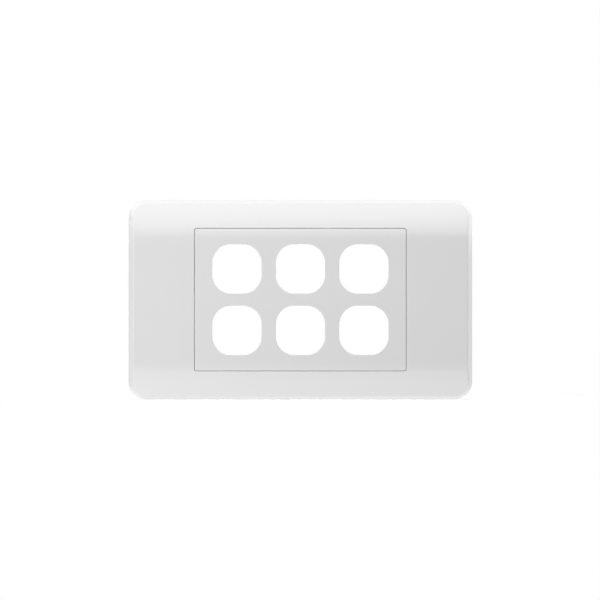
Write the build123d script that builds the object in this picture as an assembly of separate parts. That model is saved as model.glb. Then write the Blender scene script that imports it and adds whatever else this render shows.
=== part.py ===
from build123d import *
import os
from math import cos, radians, sin, tan

# Wall switch plate: a grid plate that is screwed to a wall box, under a clip-on surround.
# X is to the right and Z is up. The front faces -Y, and Y = 0 is the wall plane.
# The origin is the middle of the plate on the wall. Sizes are in millimetres, angles in degrees.
# A height is a distance out from the wall, towards the front.

# Outer form
plate_width = 126.0
plate_height = 73.0
plate_depth = 10.0
plate_corner_radius = 6.5
side_draft = 9.0
plate_edge_radius = 0.6

# Apertures for the switch mechanisms
columns = 3
rows = 2
column_pitch = 23.25
row_pitch = 22.5
aperture_size = 18.0
aperture_corner_radius = 7.0
aperture_corner_overrun = 0.06
aperture_edge_break = 0.1

# Panel that carries the apertures, and the gap to the surround's window
panel_side_margin = 6.45
panel_end_margin = 5.75
panel_corner_radius = 0.8
panel_edge_radius = 0.15
window_gap = 0.15

# Crowned front that the panel and the surround share, as a section across the height
flat_margin = 1.95
bend_overrun = 1.4
bend_angle = 13.0
edge_angle = 22.0

# Walls
surround_front_wall = 2.0
surround_side_wall = 1.8
panel_front_wall = 2.0
panel_side_wall = 1.8
flange_thickness = 2.5
flange_clearance = 0.7

# Stiffening rim behind the window, and the ribs that seat the surround on the flange
rim_wall = 1.5
rim_depth = 2.0
seat_rib_thickness = 1.4
seat_rib_spacing = 30.0

# Snap hooks of the surround, and the ledges on the flange that hold them
hook_spacing = 44.0
hook_width = 8.0
hook_standoff = 2.2
hook_tip_thickness = 1.4
hook_root_thickness = 2.0
hook_engagement = 0.5
hook_lead_in = 0.6
hook_tip_clearance = 0.2
hook_play = 0.05
hook_face_clearance = 0.15
hook_notch_clearance = 0.5
ledge_thickness = 1.2
barb_room = 0.4

# Slots for the two fixing screws, and the raised seats for their heads
fixing_spacing = 84.0
fixing_slot_width = 4.2
fixing_slot_length = 5.4
fixing_seat_margin = 1.8
fixing_seat_height = 0.8

# Snap tongues that hold a mechanism, one each side of an aperture
tongue_standoff = 0.9
tongue_thickness = 1.1
tongue_width = 7.0
tongue_reach = 6.0
tongue_root_radius = 0.4
nib_depth = 0.6
nib_length = 1.6
nib_ramp = 1.2

# Ribs that locate a mechanism above and below an aperture
row_rib_thickness = 1.5
locating_rib_reach = 3.0
fin_thickness = 1.2
fin_spacing = 9.0

# Sizes that follow from the driving dimensions
grid_width = (columns - 1) * column_pitch + aperture_size
grid_height = (rows - 1) * row_pitch + aperture_size
panel_width = grid_width + 2 * panel_side_margin
panel_height = grid_height + 2 * panel_end_margin
window_width = panel_width + 2 * window_gap
window_height = panel_height + 2 * window_gap
window_corner_radius = panel_corner_radius + window_gap
flat_half_height = grid_height / 2 + flat_margin
bend_half_height = panel_height / 2 + bend_overrun
bend_radius = (bend_half_height - flat_half_height) / sin(radians(bend_angle))
edge_rise = sin(radians(edge_angle)) - sin(radians(bend_angle))
edge_curve_radius = (plate_height / 2 - bend_half_height) / edge_rise
flange_inset = surround_side_wall + flange_thickness * tan(radians(side_draft)) + flange_clearance
panel_back = plate_depth - panel_front_wall
hook_face = window_height / 2 + rim_wall + hook_standoff
ledge_edge = hook_face - hook_face_clearance
ledge_underside = flange_thickness - ledge_thickness
barb_face = ledge_edge - hook_engagement
fixing_seat_top = flange_thickness + fixing_seat_height
fixing_places = (-fixing_spacing / 2, fixing_spacing / 2)
column_places = [(column - (columns - 1) / 2) * column_pitch for column in range(columns)]
row_places = [(row - (rows - 1) / 2) * row_pitch for row in range(rows)]
aperture_centres = [(x, z) for x in column_places for z in row_places]


def prism(outline, base, top):
    """An outline drawn on the wall plane, as a solid between two heights."""
    return extrude(Plane.XZ.offset(base) * outline, amount=top - base)


def crowned_stock(inset):
    """Everything behind the crowned front, with the front taken back by the inset."""
    front = inset - plate_depth
    flat = Line((front, -flat_half_height), (front, flat_half_height))
    bend = JernArc(flat @ 1, flat % 1, bend_radius - inset, -bend_angle)
    slope = JernArc(bend @ 1, bend % 1, edge_curve_radius - inset, bend_angle - edge_angle)
    lower_bend = mirror(bend, Plane.XZ)
    lower_slope = mirror(slope, Plane.XZ)
    top = (slope @ 1).Y
    back = Polyline(slope @ 1, (plate_depth, top), (plate_depth, -top), lower_slope @ 1)
    section = make_face([flat, bend, slope, back, lower_slope, lower_bend])
    return extrude(Plane.YZ * section, amount=plate_width, both=True)


def moulded_form(front_inset, side_inset):
    """The drafted, crowned body of the plate, with its front and sides taken in."""
    outline = RectangleRounded(
        plate_width - 2 * side_inset,
        plate_height - 2 * side_inset,
        plate_corner_radius - side_inset,
    )
    return extrude(Plane.XZ * outline, amount=plate_depth, taper=side_draft) & crowned_stock(front_inset)


def front_outline(body):
    """The edges that bound the crowned front, without the tangent lines inside it."""
    steepest = -cos(radians(edge_angle))
    edges = body.faces().filter_by(lambda face: face.normal_at().Y < steepest).edges()
    return ShapeList(edge for edge in edges if edges.count(edge) == 1)


def in_window(edge):
    """Whether an edge lies on the surround's window."""
    centre = edge.center()
    return abs(centre.X) < window_width / 2 + window_gap and abs(centre.Z) < window_height / 2 + window_gap


def make_hook():
    """One snap hook of the upper row, centred on X = 0, with its barb towards the panel."""
    shoulder = ledge_underside - hook_play
    tip = hook_tip_clearance
    outline = Polyline(
        (-plate_depth, hook_face),
        (-shoulder, hook_face),
        (-shoulder, barb_face),
        (-tip - hook_lead_in, barb_face),
        (-tip, hook_face),
        (-tip, hook_face + hook_tip_thickness),
        (-plate_depth, hook_face + hook_root_thickness),
        close=True,
    )
    hook = extrude(Plane.YZ * make_face(outline), amount=hook_width / 2, both=True)
    return hook & crowned_stock(surround_front_wall / 2)


def hook_places(upper):
    """Copies of a piece of the upper row at the four hooks."""
    places = [Pos(side * hook_spacing / 2, 0, 0) * upper for side in (-1, 1)]
    return places + [mirror(piece, Plane.XY) for piece in places]


def make_seat_ribs():
    """Ribs inside the surround, from the window's rim to its walls, that rest on the flange."""
    wing_start = window_width / 2 + rim_wall / 2
    wing_length = plate_width / 2 - wing_start
    end_start = window_height / 2 + rim_wall / 2
    end_length = plate_height / 2 - end_start
    outlines = []
    for side in (-1, 1):
        for end in (-1, 1):
            place = Pos(side * (wing_start + wing_length / 2), end * seat_rib_spacing / 2)
            outlines.append(place * Rectangle(wing_length, seat_rib_thickness))
        outlines.append(Pos(0, side * (end_start + end_length / 2)) * Rectangle(seat_rib_thickness, end_length))
    core = moulded_form(surround_front_wall / 2, surround_side_wall / 2)
    return [prism(outline, flange_thickness, plate_depth) & core for outline in outlines]


def make_surround():
    """The clip-on cover frame: a drafted, crowned shell with a window for the panel."""
    window = RectangleRounded(window_width, window_height, window_corner_radius)
    body = moulded_form(0, 0)
    body = fillet(front_outline(body), plate_edge_radius)
    body -= prism(window, 0, plate_depth)
    body = fillet(front_outline(body).filter_by(in_window), panel_edge_radius)
    body -= moulded_form(surround_front_wall, surround_side_wall)
    rim_outline = RectangleRounded(
        window_width + 2 * rim_wall,
        window_height + 2 * rim_wall,
        window_corner_radius + rim_wall,
    )
    rim_base = plate_depth - surround_front_wall - rim_depth
    body += prism(rim_outline - window, rim_base, plate_depth) & crowned_stock(surround_front_wall / 2)
    body += make_seat_ribs()
    body += hook_places(make_hook())
    return body


def make_tongue():
    """The snap tongue on the right of an aperture that is centred on the origin."""
    face = aperture_size / 2 + tongue_standoff
    back = face + tongue_thickness
    root = -panel_back
    tip = root + tongue_reach
    blade = Polyline(
        (face, root),
        (face, tip - nib_length),
        (face - nib_depth, tip - nib_length),
        (face - nib_depth, tip - nib_ramp),
        (face, tip),
        (back, tip),
        (back, root),
        close=True,
    )
    foot_width = tongue_thickness + 4 * tongue_root_radius
    foot = Pos((face + back) / 2, root - panel_front_wall / 4) * Rectangle(foot_width, panel_front_wall / 2)
    outline = make_face(blade) + foot
    inner_corners = [
        corner for corner in outline.vertices()
        if abs(corner.Y - root) < tongue_root_radius / 2
        and abs(corner.X - (face + back) / 2) < tongue_thickness
    ]
    outline = fillet(inner_corners, tongue_root_radius)
    return extrude(outline, amount=tongue_width / 2, both=True)


def make_mechanism_ribs():
    """A rib between the rows, and fins on the panel's upper and lower walls at each column."""
    rib_length = panel_width - panel_side_wall
    outlines = [
        Pos(0, z + row_pitch / 2) * Rectangle(rib_length, row_rib_thickness) for z in row_places[:-1]
    ]
    fin_start = (rows * row_pitch - row_rib_thickness) / 2
    fin_length = (panel_height - panel_side_wall) / 2 - fin_start
    for x in column_places:
        for side in (-1, 1):
            for end in (-1, 1):
                place = Pos(x + side * fin_spacing / 2, end * (fin_start + fin_length / 2))
                outlines.append(place * Rectangle(fin_thickness, fin_length))
    core = crowned_stock(panel_front_wall / 2)
    return [prism(outline, panel_back - locating_rib_reach, plate_depth) & core for outline in outlines]


def make_aperture_cutter():
    """The through cut of one aperture, with a flared mouth that breaks its front edge."""
    rounded_size = aperture_size + 2 * aperture_corner_overrun
    outline = RectangleRounded(rounded_size, rounded_size, aperture_corner_radius)
    outline &= Rectangle(aperture_size, aperture_size)
    mouth = Plane.XZ.offset(plate_depth - aperture_edge_break) * outline
    return prism(outline, 0, plate_depth) + extrude(mouth, amount=aperture_edge_break, taper=-45)


def make_panel():
    """The raised panel with its apertures, still solid behind its crowned front."""
    outline = RectangleRounded(panel_width, panel_height, panel_corner_radius)
    panel = prism(outline, 0, plate_depth) & crowned_stock(0)
    panel = fillet(front_outline(panel), panel_edge_radius)
    cutter = make_aperture_cutter()
    return panel - [Pos(x, 0, z) * cutter for x, z in aperture_centres]


def make_flange():
    """The flange that is screwed to the wall, with raised seats for the screw heads."""
    outline = RectangleRounded(
        plate_width - 2 * flange_inset,
        plate_height - 2 * flange_inset,
        plate_corner_radius - flange_inset,
    )
    seat_outline = SlotOverall(
        fixing_slot_length + 2 * fixing_seat_margin,
        fixing_slot_width + 2 * fixing_seat_margin,
    )
    flange = prism(outline, 0, flange_thickness)
    flange += [prism(Pos(x, 0) * seat_outline, 0, fixing_seat_top) for x in fixing_places]
    return flange


def make_hook_cuts():
    """Notches in the flange for the hooks, and the pockets behind the ledges for their barbs."""
    width = hook_width + 2 * hook_notch_clearance
    notch_depth = plate_height / 2 - ledge_edge
    notch = Pos(0, ledge_edge + notch_depth / 2) * Rectangle(width, notch_depth)
    pocket_depth = hook_engagement + barb_room
    pocket = Pos(0, ledge_edge - pocket_depth / 2) * Rectangle(width, pocket_depth)
    return hook_places(prism(notch, 0, flange_thickness)) + hook_places(prism(pocket, 0, ledge_underside))


def make_grid_plate():
    """The inner moulding: flange, hollow panel with apertures, snap tongues and fixing slots."""
    body = make_panel() + make_flange()
    pocket = Rectangle(panel_width - 2 * panel_side_wall, panel_height - 2 * panel_side_wall)
    body -= prism(pocket, 0, plate_depth) & crowned_stock(panel_front_wall)
    right_tongue = make_tongue()
    left_tongue = mirror(right_tongue, Plane.YZ)
    for x, z in aperture_centres:
        body += [Pos(x, 0, z) * right_tongue, Pos(x, 0, z) * left_tongue]
    body += make_mechanism_ribs()
    slot = SlotOverall(fixing_slot_length, fixing_slot_width)
    body -= [prism(Pos(x, 0) * slot, 0, fixing_seat_top) for x in fixing_places]
    return body - make_hook_cuts()


os.makedirs("parts", exist_ok=True)
export_step(make_surround(), "parts/surround.step")
export_step(make_grid_plate(), "parts/grid_plate.step")
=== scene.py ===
"""Studio scene of a white switch plate: a grid plate under a clip-on surround."""

import logging
from dataclasses import dataclass
from enum import Enum
from math import pi, radians

import bpy
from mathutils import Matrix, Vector


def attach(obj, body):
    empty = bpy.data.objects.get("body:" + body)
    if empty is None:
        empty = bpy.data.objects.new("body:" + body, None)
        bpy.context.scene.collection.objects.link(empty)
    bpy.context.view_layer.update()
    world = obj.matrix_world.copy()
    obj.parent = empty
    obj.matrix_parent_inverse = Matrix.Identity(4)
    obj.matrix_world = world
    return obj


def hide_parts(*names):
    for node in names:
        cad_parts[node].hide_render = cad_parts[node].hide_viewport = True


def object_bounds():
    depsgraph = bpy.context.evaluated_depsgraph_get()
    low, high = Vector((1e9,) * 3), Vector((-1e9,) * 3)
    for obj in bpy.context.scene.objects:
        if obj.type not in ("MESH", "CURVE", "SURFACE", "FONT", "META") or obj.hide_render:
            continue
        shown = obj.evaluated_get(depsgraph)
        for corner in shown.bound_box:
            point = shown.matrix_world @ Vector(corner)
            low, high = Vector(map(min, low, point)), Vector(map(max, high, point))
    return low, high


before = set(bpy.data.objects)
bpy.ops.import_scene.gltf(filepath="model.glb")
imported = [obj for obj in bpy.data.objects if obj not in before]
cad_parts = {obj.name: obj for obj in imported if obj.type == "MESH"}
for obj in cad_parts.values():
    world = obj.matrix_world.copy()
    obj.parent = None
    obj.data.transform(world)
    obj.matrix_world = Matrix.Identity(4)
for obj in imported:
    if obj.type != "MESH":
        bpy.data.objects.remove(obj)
CAD_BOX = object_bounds()

LOG = logging.getLogger("switch_plate")

MM = 0.001
QUARTER_TURN = pi / 2
MERGE_DISTANCE = 0.001 * MM
FLAT_ANGLE = 0.4
ROUNDING_SEGMENTS = 2
WHITE = (1, 1, 1, 1)

Colour = tuple[float, float, float]
Point = tuple[float, float, float]


class MouldPart(Enum):
    """The part of the mould that shapes a face, as the index of its material on a piece."""

    SHOW = 0
    CORE = 1
    PIN = 2


class Cut(Enum):
    """What a tool solid does to the piece that it meets."""

    REMOVE = "DIFFERENCE"
    ADD = "UNION"


def pick(*objects: bpy.types.Object) -> None:
    """Select only the given objects, and make the first one active.

    Args:
        objects: The objects that the next operators act on.
    """
    bpy.ops.object.select_all(action="DESELECT")
    for item in objects:
        item.select_set(True)
    bpy.context.view_layer.objects.active = objects[0]


def apply_modifier(piece: bpy.types.Object, kind: str, **settings: object) -> None:
    """Add a modifier to a piece, set it and apply it.

    Args:
        piece: The mesh object to change.
        kind: The modifier's type, in Blender's own words.
        settings: Values for the modifier's own properties.
    """
    pick(piece)
    bpy.ops.object.modifier_add(type=kind)
    modifier = piece.modifiers[-1]
    for name, value in settings.items():
        setattr(modifier, name, value)
    bpy.ops.object.modifier_apply(modifier=modifier.name)


def copy_of_solid(node: str, name: str) -> bpy.types.Object:
    """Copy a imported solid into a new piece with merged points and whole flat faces.

    Args:
        node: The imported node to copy.
        name: The new piece's name.

    Returns:
        The new mesh object, at the origin.
    """
    piece = bpy.data.objects.new(name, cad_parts[node].data.copy())
    piece.data.name = name
    piece.data.materials.clear()
    bpy.context.scene.collection.objects.link(piece)
    pick(piece)
    bpy.ops.object.mode_set(mode="EDIT")
    bpy.ops.mesh.select_all(action="SELECT")
    bpy.ops.mesh.customdata_custom_splitnormals_clear()
    bpy.ops.mesh.remove_doubles(threshold=MERGE_DISTANCE)
    bpy.ops.mesh.dissolve_limited(angle_limit=radians(FLAT_ANGLE))
    bpy.ops.object.mode_set(mode="OBJECT")
    return piece


def round_sharp_edges(
    piece: bpy.types.Object, radius: float, sharp_angle: float, room: float
) -> None:
    """Round the sharp edges of a piece, except where the mesh is too fine for it.

    Args:
        piece: The mesh object to change.
        radius: The width of the rounding, in metres.
        sharp_angle: The angle from which an edge counts as sharp, in degrees.
        room: The shortest edge that may meet a rounded one, in metres.
    """
    pick(piece)
    bpy.ops.object.mode_set(mode="EDIT")
    bpy.ops.mesh.select_mode(type="EDGE")
    bpy.ops.mesh.select_all(action="DESELECT")
    bpy.ops.mesh.edges_select_sharp(sharpness=radians(sharp_angle))
    bpy.ops.object.mode_set(mode="OBJECT")
    mesh = piece.data
    tight = set()
    for edge in mesh.edges:
        start, end = (mesh.vertices[index].co for index in edge.vertices)
        if (end - start).length < room:
            tight.update(edge.vertices)
    weights = mesh.attributes.new("bevel_weight_edge", "FLOAT", "EDGE")
    for edge in mesh.edges:
        weights.data[edge.index].value = float(edge.select and tight.isdisjoint(edge.vertices))
    apply_modifier(
        piece,
        "BEVEL",
        width=radius,
        segments=ROUNDING_SEGMENTS,
        limit_method="WEIGHT",
        use_clamp_overlap=False,
    )


@dataclass(frozen=True)
class RoundPin:
    """A short round pin along the plate's axis: the print of an ejector, or the stub of a gate.

    Its sizes are in millimetres and its rim angle in degrees. The height is that of the face
    that it marks, from the wall plane.
    """

    x: float
    z: float
    height: float
    radius: float
    depth: float
    rim: float = 0.04
    rim_angle: float = 60.0
    sides: int = 32

    def make(self, name: str) -> bpy.types.Object:
        """Model the pin across the face that it marks.

        Args:
            name: The pin's name.

        Returns:
            A mesh object that reaches the pin's depth to each side of the face.
        """
        bpy.ops.object.select_all(action="DESELECT")
        bpy.ops.mesh.primitive_cylinder_add(
            vertices=self.sides,
            radius=self.radius * MM,
            depth=2 * self.depth * MM,
            location=(self.x * MM, -self.height * MM, self.z * MM),
            rotation=(QUARTER_TURN, 0, 0),
        )
        pin = bpy.context.object
        pin.name = name
        bpy.ops.object.transform_apply(location=True, rotation=True, scale=True)
        bpy.ops.object.mode_set(mode="EDIT")
        bpy.ops.mesh.select_all(action="DESELECT")
        bpy.ops.mesh.edges_select_sharp(sharpness=radians(self.rim_angle))
        bpy.ops.mesh.bevel(
            offset=self.rim * MM, segments=ROUNDING_SEGMENTS, affect="EDGES", clamp_overlap=True
        )
        bpy.ops.object.mode_set(mode="OBJECT")
        return pin


@dataclass(frozen=True)
class PlasticFinish:
    """White plastic as one part of the mould leaves it, with its sizes in millimetres."""

    name: str
    colour: Colour
    roughness: float
    roughness_spread: float
    shade_spread: float
    peel_size: float
    grain_size: float
    grain_share: float
    relief: float
    ior: float = 1.5

    def material(self, texture: "MouldTexture") -> bpy.types.Material:
        """Make the finish as a material.

        Args:
            texture: The node groups that the plastics share.

        Returns:
            The new material.
        """
        material = bpy.data.materials.new(self.name)
        material.use_nodes = True
        nodes, links = material.node_tree.nodes, material.node_tree.links
        shader = nodes["Principled BSDF"]
        shader.inputs["IOR"].default_value = self.ior
        coordinates = nodes.new("ShaderNodeTexCoord")
        relief = texture.place(material, texture.relief_group())
        relief.inputs["Peel Scale"].default_value = 1 / (self.peel_size * MM)
        relief.inputs["Grain Scale"].default_value = 1 / (self.grain_size * MM)
        relief.inputs["Grain Share"].default_value = self.grain_share
        clouds = texture.place(material, texture.cloud_group())
        clouds.inputs["Colour"].default_value = (*self.colour, 1)
        clouds.inputs["Shade Spread"].default_value = self.shade_spread
        clouds.inputs["Roughness"].default_value = self.roughness
        clouds.inputs["Roughness Spread"].default_value = self.roughness_spread
        bump = nodes.new("ShaderNodeBump")
        bump.inputs["Strength"].default_value = 1
        bump.inputs["Distance"].default_value = self.relief * MM
        links.new(coordinates.outputs["Object"], relief.inputs["Vector"])
        links.new(coordinates.outputs["Object"], clouds.inputs["Vector"])
        links.new(relief.outputs["Height"], bump.inputs["Height"])
        links.new(bump.outputs["Normal"], shader.inputs["Normal"])
        links.new(clouds.outputs["Colour"], shader.inputs["Base Color"])
        links.new(clouds.outputs["Roughness"], shader.inputs["Roughness"])
        return material


class MouldTexture:
    """The node groups for what a mould leaves on plastic: surface relief, and flow clouds."""

    RELIEF = "mould_relief"
    RELIEF_DETAIL = 2
    CLOUDS = "flow_clouds"
    CLOUD_DETAIL = 3
    CLOUD_SIZE = 14.0 * MM
    NOISE_MEAN = 0.5

    def __init__(self) -> None:
        """Start with no group made yet."""
        self.groups: dict[str, bpy.types.ShaderNodeTree] = {}

    def place(
        self, material: bpy.types.Material, group: bpy.types.ShaderNodeTree
    ) -> bpy.types.Node:
        """Put a group into a material.

        Args:
            material: The material that uses the group.
            group: The shared node group.

        Returns:
            The group's node in that material.
        """
        node = material.node_tree.nodes.new("ShaderNodeGroup")
        node.node_tree = group
        return node

    def start(
        self, name: str, inputs: dict[str, str], outputs: dict[str, str]
    ) -> bpy.types.ShaderNodeTree:
        """Make an empty group with named sockets.

        Args:
            name: The group's name.
            inputs: Socket types by input name.
            outputs: Socket types by output name.

        Returns:
            The new group.
        """
        group = bpy.data.node_groups.new(name, "ShaderNodeTree")
        for socket, kind in inputs.items():
            group.interface.new_socket(name=socket, in_out="INPUT", socket_type=kind)
        for socket, kind in outputs.items():
            group.interface.new_socket(name=socket, in_out="OUTPUT", socket_type=kind)
        self.groups[name] = group
        return group

    def relief_group(self) -> bpy.types.ShaderNodeTree:
        """Give the group for orange peel with a finer grain over it, made at its first use.

        Returns:
            The group, which puts out a height.
        """
        if self.RELIEF in self.groups:
            return self.groups[self.RELIEF]
        group = self.start(
            self.RELIEF,
            {
                "Vector": "NodeSocketVector",
                "Peel Scale": "NodeSocketFloat",
                "Grain Scale": "NodeSocketFloat",
                "Grain Share": "NodeSocketFloat",
            },
            {"Height": "NodeSocketFloat"},
        )
        nodes, links = group.nodes, group.links
        given = nodes.new("NodeGroupInput")
        result = nodes.new("NodeGroupOutput")
        mix = nodes.new("ShaderNodeMix")
        for name, slot in (("Peel Scale", "A"), ("Grain Scale", "B")):
            noise = nodes.new("ShaderNodeTexNoise")
            noise.inputs["Detail"].default_value = self.RELIEF_DETAIL
            links.new(given.outputs["Vector"], noise.inputs["Vector"])
            links.new(given.outputs[name], noise.inputs["Scale"])
            links.new(noise.outputs["Fac"], mix.inputs[slot])
        links.new(given.outputs["Grain Share"], mix.inputs["Factor"])
        links.new(mix.outputs["Result"], result.inputs["Height"])
        return group

    def cloud_group(self) -> bpy.types.ShaderNodeTree:
        """Give the group for faint clouds of shade and gloss, made at its first use.

        The clouds show where the melt flowed unevenly.

        Returns:
            The group, which puts out a colour and a roughness.
        """
        if self.CLOUDS in self.groups:
            return self.groups[self.CLOUDS]
        group = self.start(
            self.CLOUDS,
            {
                "Vector": "NodeSocketVector",
                "Colour": "NodeSocketColor",
                "Shade Spread": "NodeSocketFloat",
                "Roughness": "NodeSocketFloat",
                "Roughness Spread": "NodeSocketFloat",
            },
            {"Colour": "NodeSocketColor", "Roughness": "NodeSocketFloat"},
        )
        nodes, links = group.nodes, group.links
        given = nodes.new("NodeGroupInput")
        result = nodes.new("NodeGroupOutput")
        noise = nodes.new("ShaderNodeTexNoise")
        noise.inputs["Scale"].default_value = 1 / self.CLOUD_SIZE
        noise.inputs["Detail"].default_value = self.CLOUD_DETAIL
        centred = nodes.new("ShaderNodeMath")
        centred.operation = "SUBTRACT"
        centred.inputs[1].default_value = self.NOISE_MEAN
        shade = nodes.new("ShaderNodeMath")
        shade.operation = "MULTIPLY_ADD"
        shade.inputs[2].default_value = 1
        tint = nodes.new("ShaderNodeVectorMath")
        tint.operation = "SCALE"
        gloss = nodes.new("ShaderNodeMath")
        gloss.operation = "MULTIPLY_ADD"
        links.new(given.outputs["Vector"], noise.inputs["Vector"])
        links.new(noise.outputs["Fac"], centred.inputs[0])
        links.new(centred.outputs[0], shade.inputs[0])
        links.new(given.outputs["Shade Spread"], shade.inputs[1])
        links.new(given.outputs["Colour"], tint.inputs[0])
        links.new(shade.outputs[0], tint.inputs["Scale"])
        links.new(centred.outputs[0], gloss.inputs[0])
        links.new(given.outputs["Roughness Spread"], gloss.inputs[1])
        links.new(given.outputs["Roughness"], gloss.inputs[2])
        links.new(tint.outputs[0], result.inputs["Colour"])
        links.new(gloss.outputs[0], result.inputs["Roughness"])
        return group


@dataclass
class Moulding:
    """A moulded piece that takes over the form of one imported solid, with its edges softened.

    Its sizes are in millimetres and its angles in degrees. A face is on the show side where
    its normal points towards the room by more than the show limit.
    """

    piece_name: str
    node: str
    body: str
    slot: str
    ejector_prints: tuple[RoundPin, ...]
    gate_stubs: tuple[RoundPin, ...]
    edge_radius: float = 0.08
    edge_room: float = 0.2
    sharp_angle: float = 40.0
    smooth_angle: float = 35.0
    show_limit: float = 0.1

    def build(self, finishes: dict[MouldPart, bpy.types.Material]) -> bpy.types.Object:
        """Model the piece, hide the solid that it stands for, and attach the piece to its body.

        Args:
            finishes: One material for each part of the mould.

        Returns:
            The finished mesh object.
        """
        piece = copy_of_solid(self.node, self.piece_name)
        for part in MouldPart:
            piece.data.materials.append(finishes[part])
        self.shape(piece, self.ejector_prints, Cut.REMOVE, MouldPart.PIN)
        self.shape(piece, self.gate_stubs, Cut.ADD, MouldPart.CORE)
        round_sharp_edges(piece, self.edge_radius * MM, self.sharp_angle, self.edge_room * MM)
        self.dress(piece)
        pick(piece)
        bpy.ops.object.shade_smooth_by_angle(angle=radians(self.smooth_angle))
        apply_modifier(piece, "WEIGHTED_NORMAL", keep_sharp=True)
        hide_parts(self.node)
        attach(piece, self.body)
        return piece

    def shape(
        self, piece: bpy.types.Object, pins: tuple[RoundPin, ...], cut: Cut, part: MouldPart
    ) -> None:
        """Cut pins out of the piece, or add them to it.

        Args:
            piece: The piece to change, with its materials.
            pins: The round pins, each across the face that it marks.
            cut: Whether the pins are taken away or added.
            part: The part of the mould that leaves the new faces.
        """
        tools = [pin.make(f"{self.piece_name}_pin_{number}") for number, pin in enumerate(pins)]
        pick(*tools)
        bpy.ops.object.join()
        tool = bpy.context.object
        for material in piece.data.materials:
            tool.data.materials.append(material)
        for face in tool.data.polygons:
            face.material_index = part.value
        apply_modifier(piece, "BOOLEAN", object=tool, operation=cut.value, solver="EXACT")
        bpy.data.objects.remove(tool)

    def dress(self, piece: bpy.types.Object) -> None:
        """Give each face the finish of the mould part that shaped it; pin faces have theirs.

        Args:
            piece: The shaped piece, with its materials.
        """
        for face in piece.data.polygons:
            if face.material_index != MouldPart.PIN.value:
                on_show = -face.normal.y > self.show_limit
                face.material_index = (MouldPart.SHOW if on_show else MouldPart.CORE).value


@dataclass(frozen=True)
class Softbox:
    """A rectangular studio light, aimed at a point on the plate or close by.

    Its sizes are in metres and its spread in degrees. A light that isn't glossy shows in no
    mirror image on the plate.
    """

    name: str
    place: Point
    aim: Point
    width: float
    height: float
    watts: float
    glossy: bool = True
    spread: float = 180.0

    def hang(self) -> None:
        """Add the light to the scene, where the camera doesn't see it."""
        lamp = bpy.data.lights.new(self.name, "AREA")
        lamp.shape = "RECTANGLE"
        lamp.size = self.width
        lamp.size_y = self.height
        lamp.energy = self.watts
        lamp.spread = radians(self.spread)
        light = bpy.data.objects.new(self.name, lamp)
        light.location = self.place
        towards = Vector(self.aim) - Vector(self.place)
        light.rotation_euler = towards.to_track_quat("-Z", "Y").to_euler()
        light.visible_camera = False
        light.visible_glossy = self.glossy
        bpy.context.scene.collection.objects.link(light)


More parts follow.
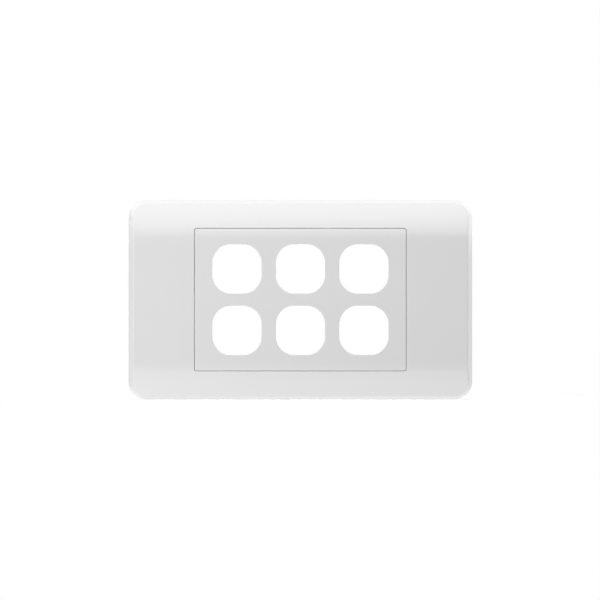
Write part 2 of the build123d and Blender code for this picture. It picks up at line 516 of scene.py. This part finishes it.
@dataclass
class Studio:
    """A light tent with a pale table, and a long lens square to the plate.

    Its reaches, radii and distances are in metres. The picture and the sensor are in
    millimetres, and the picture is measured in the plane of the wall.
    """

    softboxes: tuple[Softbox, ...]
    ambient: float = 0.28
    table_reach: float = 12.0
    table_albedo: float = 0.9
    clear_radius: float = 0.12
    fade_radius: float = 0.4
    camera_distance: float = 8.0
    far_clip: float = 16.0
    picture_width: float = 219.94
    picture_centre: tuple[float, float] = (-0.136, -0.128)
    sensor: float = 36.0

    def build(self) -> None:
        """Set up the colour handling, the surroundings, the table, the lights and the camera."""
        bpy.context.scene.view_settings.view_transform = "Standard"
        self.surroundings()
        self.table()
        for softbox in self.softboxes:
            softbox.hang()
        self.camera()

    def white_rays(self, tree: bpy.types.NodeTree) -> bpy.types.NodeSocket:
        """Find the rays that see the white surroundings as they are.

        Args:
            tree: The node tree of the world or of a stage material.

        Returns:
            A socket that is 1 for camera, glossy and transmission rays.
        """
        nodes, links = tree.nodes, tree.links
        path = nodes.new("ShaderNodeLightPath")
        found = path.outputs["Is Camera Ray"]
        for name in ("Is Glossy Ray", "Is Transmission Ray"):
            either = nodes.new("ShaderNodeMath")
            either.operation = "MAXIMUM"
            links.new(found, either.inputs[0])
            links.new(path.outputs[name], either.inputs[1])
            found = either.outputs[0]
        return found

    def surroundings(self) -> None:
        """Make a white world that lights the plate only softly."""
        world = bpy.data.worlds.new("tent")
        bpy.context.scene.world = world
        world.use_nodes = True
        nodes, links = world.node_tree.nodes, world.node_tree.links
        nodes.clear()
        soft = nodes.new("ShaderNodeBackground")
        soft.inputs["Color"].default_value = WHITE
        soft.inputs["Strength"].default_value = self.ambient
        white = nodes.new("ShaderNodeBackground")
        white.inputs["Color"].default_value = WHITE
        mix = nodes.new("ShaderNodeMixShader")
        output = nodes.new("ShaderNodeOutputWorld")
        links.new(self.white_rays(world.node_tree), mix.inputs[0])
        links.new(soft.outputs[0], mix.inputs[1])
        links.new(white.outputs[0], mix.inputs[2])
        links.new(mix.outputs[0], output.inputs["Surface"])

    def table(self) -> None:
        """Lay the pale table under the plate's lower edge, white but for the plate's shadow."""
        lowest = CAD_BOX[0][2]
        bpy.ops.object.select_all(action="DESELECT")
        bpy.ops.mesh.primitive_plane_add(size=2 * self.table_reach, location=(0, 0, lowest))
        table = bpy.context.object
        table.name = "table"
        bpy.ops.object.transform_apply(location=True)
        table.data.materials.append(self.table_finish())

    def table_finish(self) -> bpy.types.Material:
        """Make the table's material: a shadow near the plate, and plain white further out.

        Returns:
            The new material.
        """
        material = bpy.data.materials.new("white_table")
        material.use_nodes = True
        tree = material.node_tree
        nodes, links = tree.nodes, tree.links
        nodes.clear()
        diffuse = nodes.new("ShaderNodeBsdfDiffuse")
        diffuse.inputs["Color"].default_value = (self.table_albedo,) * 3 + (1,)
        clear = nodes.new("ShaderNodeBsdfTransparent")
        plain = nodes.new("ShaderNodeEmission")
        coordinates = nodes.new("ShaderNodeTexCoord")
        length = nodes.new("ShaderNodeVectorMath")
        length.operation = "LENGTH"
        fade = nodes.new("ShaderNodeMapRange")
        fade.interpolation_type = "SMOOTHSTEP"
        fade.inputs["From Min"].default_value = self.clear_radius
        fade.inputs["From Max"].default_value = self.fade_radius
        near = nodes.new("ShaderNodeMixShader")
        seen = nodes.new("ShaderNodeMixShader")
        path = nodes.new("ShaderNodeLightPath")
        surface = nodes.new("ShaderNodeMixShader")
        output = nodes.new("ShaderNodeOutputMaterial")
        links.new(coordinates.outputs["Object"], length.inputs[0])
        links.new(length.outputs["Value"], fade.inputs["Value"])
        links.new(fade.outputs["Result"], near.inputs[0])
        links.new(diffuse.outputs[0], near.inputs[1])
        links.new(plain.outputs[0], near.inputs[2])
        links.new(path.outputs["Is Camera Ray"], seen.inputs[0])
        links.new(plain.outputs[0], seen.inputs[1])
        links.new(near.outputs[0], seen.inputs[2])
        links.new(self.white_rays(tree), surface.inputs[0])
        links.new(clear.outputs[0], surface.inputs[1])
        links.new(seen.outputs[0], surface.inputs[2])
        links.new(surface.outputs[0], output.inputs["Surface"])
        return material

    def camera(self) -> None:
        """Set the camera square to the plate's front."""
        lens = bpy.data.cameras.new("camera")
        lens.sensor_width = self.sensor
        lens.lens = self.sensor * self.camera_distance / (self.picture_width * MM)
        lens.clip_end = self.far_clip
        camera = bpy.data.objects.new("camera", lens)
        across, up = self.picture_centre
        camera.location = (across * MM, -self.camera_distance, up * MM)
        camera.rotation_euler = (QUARTER_TURN, 0, 0)
        bpy.context.scene.collection.objects.link(camera)
        bpy.context.scene.camera = camera


SHOW_FACE = PlasticFinish(
    name="white_gloss_plastic",
    colour=(0.8, 0.8, 0.8),
    roughness=0.3,
    roughness_spread=0.06,
    shade_spread=0.02,
    peel_size=2.2,
    grain_size=0.35,
    grain_share=0.15,
    relief=0.006,
)
CORE_FACE = PlasticFinish(
    name="white_matt_plastic",
    colour=(0.79, 0.79, 0.785),
    roughness=0.5,
    roughness_spread=0.15,
    shade_spread=0.03,
    peel_size=1.6,
    grain_size=0.25,
    grain_share=0.8,
    relief=0.07,
)
PIN_FACE = PlasticFinish(
    name="white_pin_plastic",
    colour=(0.77, 0.77, 0.765),
    roughness=0.34,
    roughness_spread=0.06,
    shade_spread=0.02,
    peel_size=1.2,
    grain_size=0.25,
    grain_share=0.4,
    relief=0.004,
)

SIDES = (-1, 1)
WALL_PLANE = 0.0
INNER_FRONT = 8.0
PRINT_DEPTH = 0.12
PRINT_RADIUS = 2.0
SMALL_PRINT_RADIUS = 1.5
STUB_HEIGHT = 0.35
STUB_RADIUS = 0.7
SURROUND_PRINT_X = 50.0
SURROUND_PRINT_ROWS = (-19.5, 0.0, 19.5)
SURROUND_GATE = (54.0, 18.5)
GRID_PRINTS = (
    (50.0, 22.0, WALL_PLANE, PRINT_RADIUS),
    (35.0, 29.0, WALL_PLANE, PRINT_RADIUS),
    (11.625, 18.8, INNER_FRONT, SMALL_PRINT_RADIUS),
)
GRID_GATE = (-34.6, 19.5)

SURROUND = Moulding(
    piece_name="surround_shell",
    node="surround",
    body="cover",
    slot="surround_plastic",
    ejector_prints=tuple(
        RoundPin(side * SURROUND_PRINT_X, z, INNER_FRONT, PRINT_RADIUS, PRINT_DEPTH)
        for side in SIDES
        for z in SURROUND_PRINT_ROWS
    ),
    gate_stubs=(RoundPin(*SURROUND_GATE, INNER_FRONT, STUB_RADIUS, STUB_HEIGHT),),
)
GRID_PLATE = Moulding(
    piece_name="grid_moulding",
    node="grid_plate",
    body="grid",
    slot="grid_plastic",
    ejector_prints=tuple(
        RoundPin(side * x, end * z, height, radius, PRINT_DEPTH)
        for side in SIDES
        for end in SIDES
        for x, z, height, radius in GRID_PRINTS
    ),
    gate_stubs=(RoundPin(*GRID_GATE, INNER_FRONT, STUB_RADIUS, STUB_HEIGHT),),
)

UPPER_CROWN = (0, -0.01, 0.03)
LOWER_CROWN = (0, -0.01, -0.03)
UPPER_LEFT_SIDE = (-0.0625, -0.004, 0.03)
UPPER_RIGHT_SIDE = (0.0625, -0.004, 0.03)
BEAM_SIZE = 0.01
BEAM_SPREAD = 11.0

STUDIO = Studio(
    softboxes=(
        Softbox(
            "top_strip", place=(0, -0.03, 1.0), aim=(0, -0.03, 0),
            width=0.5, height=0.08, watts=6.8, glossy=False,
        ),
        Softbox(
            "low_strip", place=(0, -0.03, -1.0), aim=(0, -0.03, 0),
            width=0.5, height=0.08, watts=5.2, glossy=False,
        ),
        Softbox(
            "key", place=(-0.45, -0.38, -0.02), aim=(0, 0, 0),
            width=0.2, height=0.1, watts=1.65, glossy=False,
        ),
        Softbox(
            "lower_front", place=(0.03, -0.49, 0.15), aim=UPPER_CROWN,
            width=0.3, height=0.08, watts=0.18,
        ),
        Softbox(
            "upper_front", place=(0.085, -0.405, 0.325), aim=UPPER_CROWN,
            width=0.3, height=0.1, watts=0.39,
        ),
        Softbox(
            "low_front", place=(0.05, -0.42, -0.28), aim=LOWER_CROWN,
            width=0.3, height=0.1, watts=0.11,
        ),
        Softbox(
            "left_edge", place=(-0.16, 0, -0.03), aim=UPPER_LEFT_SIDE,
            width=BEAM_SIZE, height=BEAM_SIZE, watts=0.0002, glossy=False, spread=BEAM_SPREAD,
        ),
        Softbox(
            "right_edge", place=(0.18, 0, -0.015), aim=UPPER_RIGHT_SIDE,
            width=BEAM_SIZE, height=BEAM_SIZE, watts=0.00024, glossy=False, spread=BEAM_SPREAD,
        ),
        Softbox(
            "right_panel", place=(0.6, -0.05, 0), aim=(0, -0.05, 0),
            width=0.2, height=0.25, watts=1.0, glossy=False,
        ),
        Softbox(
            "rear_panel", place=(-0.03, 0.3, 0.03), aim=(-0.03, 0, 0.03),
            width=0.16, height=0.1, watts=0.5,
        ),
    )
)


def main() -> None:
    """Build the mouldings and the studio."""
    logging.basicConfig(level=logging.INFO, format="%(message)s")
    texture = MouldTexture()
    finishes = {
        MouldPart.SHOW: SHOW_FACE.material(texture),
        MouldPart.CORE: CORE_FACE.material(texture),
        MouldPart.PIN: PIN_FACE.material(texture),
    }
    for moulding in (GRID_PLATE, SURROUND):
        piece = moulding.build(finishes)
        LOG.info("%s: %d faces", piece.name, len(piece.data.polygons))
    STUDIO.build()


if __name__ == "__main__":
    main()
